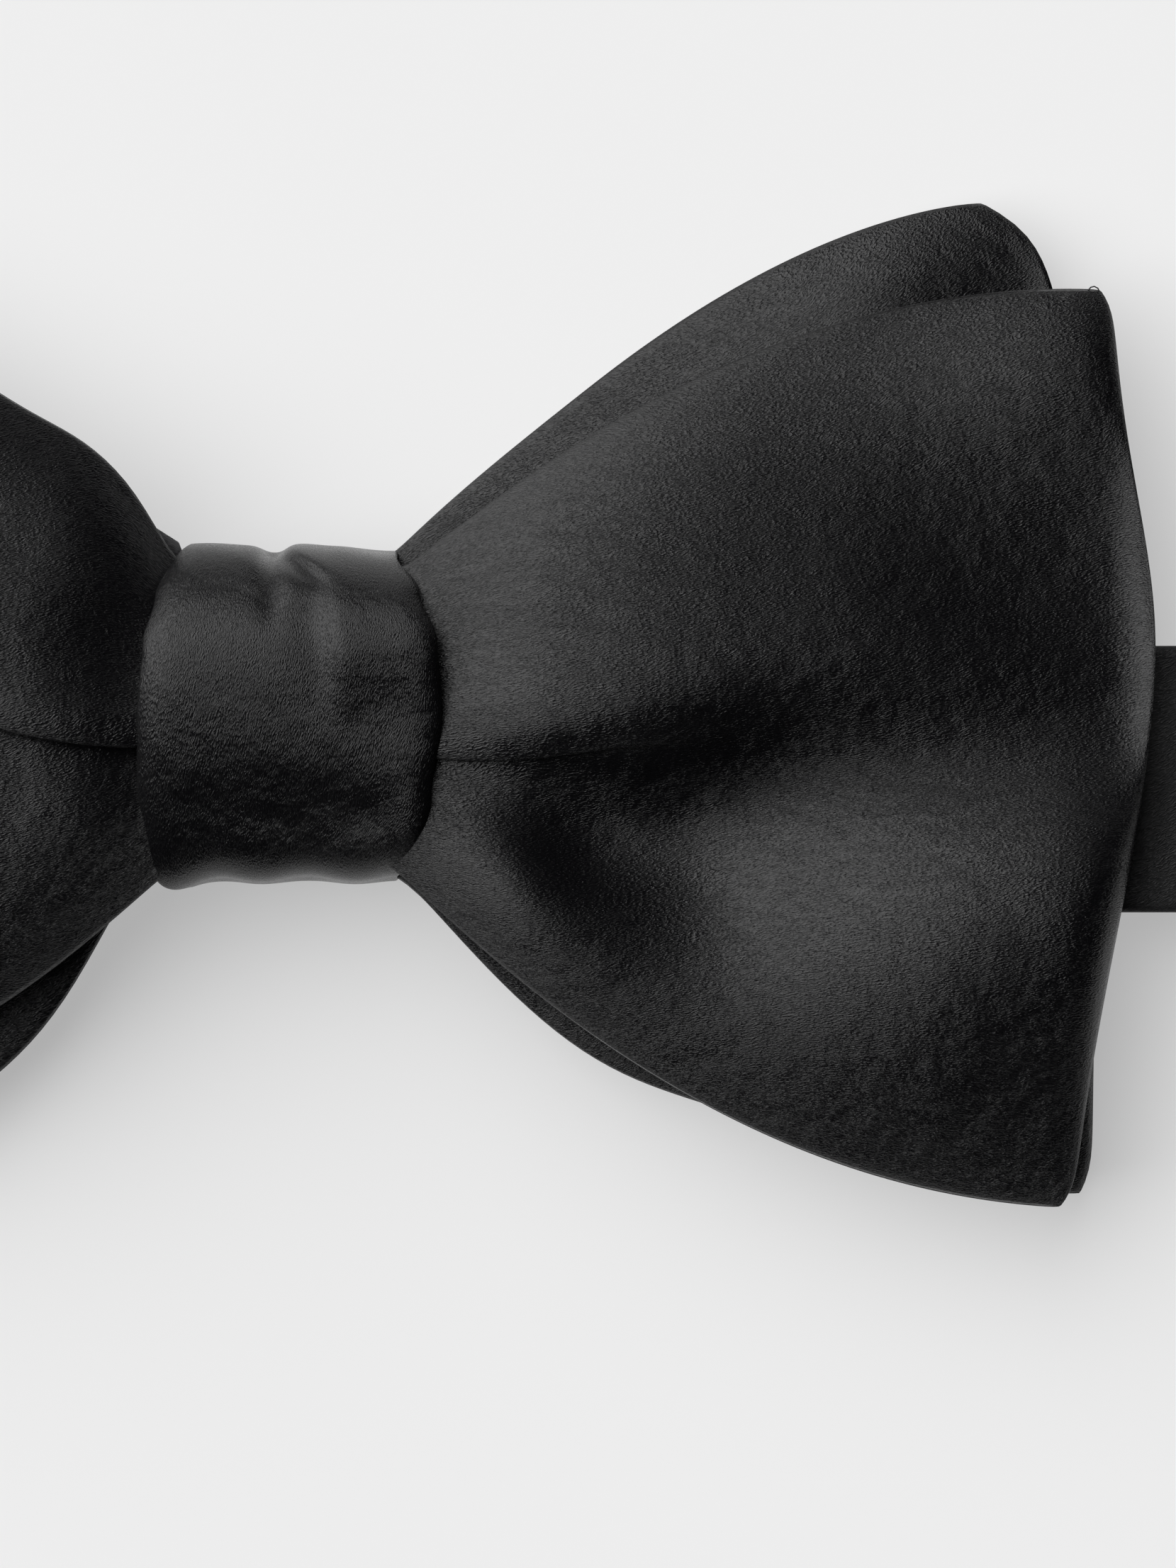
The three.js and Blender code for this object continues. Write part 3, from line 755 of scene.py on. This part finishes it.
def band_wave(x, y):
    """The band isn't ironed flat: a slow, shallow ripple."""
    return 0.12 * math.sin(x * 0.21 + 0.6) * math.cos(y * 0.16) + 0.06 * math.sin(x * 0.55 + y * 0.2)


def folded_tape(name, columns, at, body, replaced, material, width=BAND_WIDTH, thick=BAND_THICK,
                ply=0.24, weave_length=190.0):
    """A tape of satin folded round its lining: face, turned edges and two flaps behind.
    at(u) gives the middle of the tape and its outward normal, in the XZ plane."""
    half = width / 2
    radius = thick / 2

    def section(v):
        walk = v * (2 * half + math.pi * radius - 0.2)
        side = math.copysign(1.0, walk)
        walk = abs(walk)
        flat = half - radius
        if walk <= flat:
            return side * walk, radius
        if walk <= flat + math.pi * radius:
            angle = (walk - flat) / radius
            return side * (flat + radius * math.sin(angle)), radius * math.cos(angle)
        return side * (flat - (walk - flat - math.pi * radius)), -radius

    def place(u, v):
        across, out = section(v)
        middle, normal, y = at(u)
        lift = band_wave(u * weave_length / 2, across) * (1 if out > 0 else 0.5)
        spot = middle + normal * (out + lift)
        return Vector((spot.x, y + across, spot.y))

    mesh = cloth_mesh(name, columns, 84, place,
                      lambda u, v: (u * weave_length / 2, v * (width + 1)))
    return finished(name, mesh, material, body, replaced, thickness(ply))


RUN_Z = BAND_BASE + BAND_THICK / 2
LOW_Z = BAND_THICK / 2
FOLD_Z = (RUN_Z + LOW_Z) / 2
FOLD_R = (RUN_Z - LOW_Z) / 2


def band_front(u):
    x = u * (FOLD_X - 0.8)
    return Vector((x, RUN_Z)), Vector((0, 1)), band_centre(x)


def band_turn(side, tail):
    """Round a fold, from the front run's end to the far end of the short run behind it."""
    arc = math.pi * FOLD_R
    lead = 1.0

    def at(u):
        walk = (u + 1) / 2 * (lead + arc + tail)
        if walk <= lead:
            return Vector((side * (FOLD_X - lead + walk), RUN_Z)), Vector((0, 1)), BAND_DROP
        if walk <= lead + arc:
            angle = (walk - lead) / FOLD_R
            out = Vector((side * math.sin(angle), math.cos(angle)))
            return Vector((side * FOLD_X, FOLD_Z)) + out * FOLD_R, out, BAND_DROP
        x = side * (FOLD_X - (walk - lead - arc))
        return Vector((x, LOW_Z)), Vector((0, -1)), BAND_DROP
    return at


def neck_band():
    front = folded_tape("band_front", 150, band_front, "bow", ["band_front_satin"], BAND_SATIN)
    lining = cloth_mesh("band_lining", 80, 6, lambda u, v: Vector(
        (u * 93.5, band_centre(u * 93.5) + v * 8.8, RUN_Z + band_wave(u * 95, v * 8.8) * 0.8)),
        lambda u, v: (u * 94, v * 9))
    lining = finished("band_lining", lining, COTTON, "bow", ["band_front_interlining"],
                      thickness(0.22, 0, 0.0))
    for side, tail, body, nodes in (
            (1, FOLD_X - RIGHT_TAIL_X, "right_band", ["band_right_fold", "band_right_end"]),
            (-1, FOLD_X - LEFT_TAIL_X, "left_band", ["band_left_fold", "band_left_return"])):
        length = 1.0 + math.pi * FOLD_R + tail
        turn = folded_tape(f"{body}_turn", 48, band_turn(side, tail), None, nodes, BAND_SATIN,
                           weave_length=length)
        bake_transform(turn)


neck_band()


# ---- Adjusting strap ----

def walk_path(points, share):
    """The point at a share of the length of a path through (x, z) points."""
    lengths = [(b - a).length for a, b in zip(points, points[1:])]
    walk = share * sum(lengths)
    for a, b, length in zip(points, points[1:], lengths):
        if walk <= length or b is points[-1]:
            return a.lerp(b, min(walk / length, 1.0))
        walk -= length


def arc_points(x, z, radius, start, end, steps):
    return [Vector((x + radius * math.cos(math.radians(mix(start, end, i / steps))),
                    z + radius * math.sin(math.radians(mix(start, end, i / steps)))))
            for i in range(steps + 1)]


def tape(name, points, width, columns, body, replaced, thick=STRAP - 0.08):
    """A single ply of ribbed tape along a path through (x, z) points."""
    total = sum((b - a).length for a, b in zip(points, points[1:]))
    path = [walk_path(points, step / columns) for step in range(columns + 1)]

    def place(u, v):
        spot = path[round((u + 1) / 2 * columns)]
        return Vector((spot.x, BAND_DROP + v * width / 2, spot.y))

    mesh = cloth_mesh(name, columns, 14, place, lambda u, v: (u * total / 2, v * width / 2))
    piece = finished(name, mesh, TAPE, body, replaced, thickness(thick, 1, 0.0))
    return piece


def smoothed(points, rounds=2):
    """Corners cut twice over, ends kept, so that a tape bends instead of creasing."""
    for _ in range(rounds):
        cut = [points[0]]
        for a, b in zip(points, points[1:]):
            cut += [a.lerp(b, 0.25), a.lerp(b, 0.75)]
        points = cut + [points[-1]]
    return points


MAIN_Z = 2.8                     # height of the strap's upper run
HALF = STRAP / 2


def adjusting_strap():
    points = smoothed([Vector(p) for p in (
        (88.5, 1.2), (85.5, 1.2), (82.5, 0.62), (80.5, 1.0), (75.5, 2.75),
        (70.0, MAIN_Z), (0.0, MAIN_Z))])
    points += [Vector((HOOK_X, MAIN_Z))] + arc_points(HOOK_X, 1.55, 1.25, 90, 270, 12)[1:]
    points += [Vector((HOOK_X + 1.0, HALF))]
    length = sum((b - a).length for a, b in zip(points, points[1:]))
    tape("strap_run", points, STRAP_WIDTH, 160, "right_band", ["adjusting_strap"])


END_LOOP_X = SLIDE_X - 9


def strap_return():
    points = [Vector((HOOK_X + 0.6, HALF)), Vector((END_LOOP_X + 0.4, HALF))]
    piece = tape("strap_back_run", points, STRAP_WIDTH - 0.1, 90, None, ["strap_return"])
    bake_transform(piece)


def end_loop():
    points = [Vector((END_LOOP_X, HALF)), Vector((SLIDE_X, HALF))]
    points += arc_points(SLIDE_X + 0.3, HALF + 0.8, 0.8, -90, 90, 10)
    points += smoothed([Vector((SLIDE_X - 0.6, HALF + 1.6)), Vector((SLIDE_X - 2.2, HALF + 1.35)),
                        Vector((SLIDE_X - 4.0, HALF + 0.6)), Vector((END_LOOP_X + 0.6, HALF + 0.6))])
    tape("slide_loop", points, STRAP_WIDTH, 48, "slide", ["strap_end_loop"])


def bar_tack(name, x0, x1, half_width, base, passes, body, replaced):
    """A dense zigzag of thread across the tape, the way a bar tacker sews it."""
    points = []
    for step in range(passes + 1):
        y = BAND_DROP + mix(-half_width, half_width, step / passes)
        x = x0 if step % 2 else x1
        points += [(x, y, base - 0.12), (mix(x0, x1, 0.5), y + half_width / passes, base)]
    mesh = tube_mesh(name, points[:-1], 0.11, sides=1)
    return finished(name, mesh, THREAD, body, replaced)


adjusting_strap()
strap_return()
end_loop()
bar_tack("end_loop_bar_tack", END_LOOP_X + 1, END_LOOP_X + 3.4, 5.9, 1.5, 30, "slide",
         ["end_loop_tack"])
bar_tack("strap_join_bar_tack", 85.9, 88.0, 5.9, 1.58, 30, "right_band", ["strap_join_tack"])
eye_tab_points = smoothed([Vector(p) for p in (
    (-77.6, 1.2), (-75.4, 1.2), (-73.6, HALF), (EYE_X, HALF))])
eye_tab_points += arc_points(EYE_X, LOOP_Z, 1.3, -90, 90, 12)
eye_tab_points += smoothed([Vector(p) for p in (
    (EYE_X - 0.4, 2.9), (EYE_X - 3.5, 2.5), (EYE_X - 6.0, 1.0), (-72.4, 0.92))])
tape("eye_tab_loop", eye_tab_points, 12.0, 70, "left_band", ["eye_tab"])
bar_tack("eye_tab_bar_tack", -71.8, -69.6, 5.2, 1.38, 26, "left_band", ["eye_tab_tack"])
eye_tab_stitches = [((-77.2, BAND_DROP - 5.2 + k * 1.3, 1.4), (-76.4, BAND_DROP - 4.8 + k * 1.3, 1.4),
                     (0, 0, 0.2)) for k in range(9)]
stitches("eye_tab_end_stitches", eye_tab_stitches, 0.12, "left_band", [])


# ---- Slide, hook and eye ----

def plate(name, xs, ys, windows, height, thick, body, replaced, tongue=()):
    """A stamped plate: a grid of cells with some left out, bent by height(x, y), its edges eased.
    tongue is a path of (x, z) points that the middle far cell is drawn out along."""
    work = bmesh.new()
    bmesh.ops.create_grid(work, x_segments=len(xs) - 1, y_segments=len(ys) - 1, size=1.0)
    columns = sorted({round(v.co.x, 4) for v in work.verts})
    rows = sorted({round(v.co.y, 4) for v in work.verts})
    for vertex in work.verts:
        vertex.co.x = xs[columns.index(round(vertex.co.x, 4))]
        vertex.co.y = ys[rows.index(round(vertex.co.y, 4))] + BAND_DROP
    gone = [f for f in work.faces if any(
        x0 < f.calc_center_median().x < x1 and y0 < f.calc_center_median().y - BAND_DROP < y1
        for x0, x1, y0, y1 in windows)]
    bmesh.ops.delete(work, geom=gone, context="FACES")
    for vertex in work.verts:
        vertex.co.z = height(vertex.co.x, vertex.co.y - BAND_DROP)
    if tongue:
        edge = min((e for e in work.edges if e.is_boundary and abs(e.verts[0].co.x - xs[0]) < 0.01
                    and abs(e.verts[1].co.x - xs[0]) < 0.01),
                   key=lambda e: abs(e.verts[0].co.y + e.verts[1].co.y - 2 * BAND_DROP))
        for x, z in tongue:
            made = bmesh.ops.extrude_edge_only(work, edges=[edge])["geom"]
            edge = next(g for g in made if isinstance(g, bmesh.types.BMEdge)
                        and all(v in made for v in g.verts))
            for vertex in edge.verts:
                vertex.co.x, vertex.co.z = x, z
    mesh = from_bmesh(name, work)
    return finished(name, mesh, NICKEL, body, replaced, [
        ("SOLIDIFY", dict(thickness=thick * MM, offset=0.0)),
        ("BEVEL", dict(width=0.16 * MM, segments=3, limit_method="ANGLE",
                       angle_limit=math.radians(40))),
    ])


def slide_buckle():
    half = 4.8
    xs = [SLIDE_X + k for k in (-half, -3.6, -2.2, -0.7, 0.7, 2.2, 3.6, half)]
    ys = (-9.0, -7.9, -7.2, 7.2, 7.9, 9.0)
    windows = [(SLIDE_X - 3.6, SLIDE_X - 0.7, -7.9, 7.9), (SLIDE_X + 0.7, SLIDE_X + 3.6, -7.9, 7.9)]

    def height(x, y):
        near_bar = 1 - smooth(0.7, 3.0, abs(x - SLIDE_X))
        return mix(3.7, 1.1, near_bar)

    return plate("slide_adjuster", xs, ys, windows, height, 0.6, "slide", ["slide_buckle"])


def hook_piece():
    far = HOOK_X - 6
    xs = (far, HOOK_X - 3, HOOK_X - 0.5, HOOK_X + 0.5)
    ys = (-8.7, -7.4, -3.5, 3.5, 7.4, 8.7)
    windows = [(HOOK_X - 3, HOOK_X - 0.5, -7.4, 7.4)]
    tip = far - 9
    tongue = [(far - 1.2, 1.6), (far - 2.2, 1.5), (far - 3.2, 0.85), (far - 4.2, 0.45),
              (tip + 2.5, 0.4)]
    tongue += [(p.x, p.y) for p in arc_points(tip, 1.5, 1.1, 270, 90, 10)]
    tongue += [(tip + 2.0, 2.62), (tip + 4.0, 2.72), (tip + 4.6, 2.95)]
    return plate("hook_tongue", xs, ys, windows, lambda x, y: LOOP_Z, 0.6, "hook", ["hook"], tongue)


def eye_piece():
    """A ring of drawn wire, its corners turned."""
    left, right = EYE_X, EYE_X + 8.0
    low, high = BAND_DROP - 6.5, BAND_DROP + 6.5
    turn = 1.6
    points = []
    for x, y, start in ((right - turn, high - turn, 0), (left + turn, high - turn, 90),
                        (left + turn, low + turn, 180), (right - turn, low + turn, 270)):
        for step in range(7):
            angle = math.radians(start + 15 * step)
            points.append((x + turn * math.cos(angle), y + turn * math.sin(angle), LOOP_Z))
    mesh = tube_mesh("eye_ring", points, 0.5, closed=True, sides=4)
    return finished("eye_ring", mesh, NICKEL, "eye", ["eye"])


slide_buckle()
hook_piece()
eye_piece()


# ---- Stage ----

LIGHT_FROM = (-0.60, 0.42, 0.68)
LIGHT_SPREAD = 42.5                # degrees from its middle to its edge
LIGHT_POWER = 4.3


def floor():
    material, tree, shader = new_material("pale_card", 0.8, "#B4B4B4")
    shader.inputs["Specular IOR Level"].default_value = 0.2
    shader.inputs["Emission Color"].default_value = linear("#FFFFFF")
    shader.inputs["Emission Strength"].default_value = 0.42
    place = add_node(tree, "ShaderNodeTexCoord")
    grain = add_node(tree, "ShaderNodeTexNoise", inputs={"Scale": 700.0, "Detail": 3.0},
                     Vector=(place, "Object"))
    surface = add_node(tree, "ShaderNodeBump", inputs={"Strength": 0.05, "Distance": 0.0001},
                       Height=(grain, "Fac"))
    tree.links.new(surface.outputs["Normal"], shader.inputs["Normal"])
    work = bmesh.new()
    bmesh.ops.create_grid(work, x_segments=1, y_segments=1, size=2.5)
    mesh = from_bmesh("floor", work)
    mesh.materials.append(material)
    piece = bpy.data.objects.new("floor", mesh)
    bpy.context.scene.collection.objects.link(piece)


def soft_light():
    """One very broad soft source, high and to the upper left."""
    light = bpy.data.lights.new("soft_box", "SUN")
    light.angle = math.radians(2 * LIGHT_SPREAD)
    light.energy = LIGHT_POWER
    holder = bpy.data.objects.new("soft_box", light)
    holder.rotation_euler = Vector(LIGHT_FROM).to_track_quat("Z", "Y").to_euler()
    bpy.context.scene.collection.objects.link(holder)


def world():
    made = bpy.data.worlds.new("studio")
    made.use_nodes = True
    background = made.node_tree.nodes["Background"]
    background.inputs["Color"].default_value = linear("#C9CCD2")
    background.inputs["Strength"].default_value = 0.03
    bpy.context.scene.world = made


def camera():
    """Straight above, on a long lens, framing 83 by 110.6 mm of the bow's right half."""
    sensor = 24.0
    # Metres; view_height is what the picture spans at the height face above the floor
    distance, face, view_height = 0.62, 0.012, 0.1106
    data = bpy.data.cameras.new("camera")
    data.sensor_fit = "VERTICAL"
    data.sensor_height = sensor
    data.lens = sensor * (distance - face) / view_height
    data.clip_start = 0.05
    holder = bpy.data.objects.new("camera", data)
    holder.location = (0.02085, -0.00505, distance)
    bpy.context.scene.collection.objects.link(holder)
    bpy.context.scene.camera = holder


floor()
world()
soft_light()
camera()
bpy.context.scene.view_settings.view_transform = "Standard"
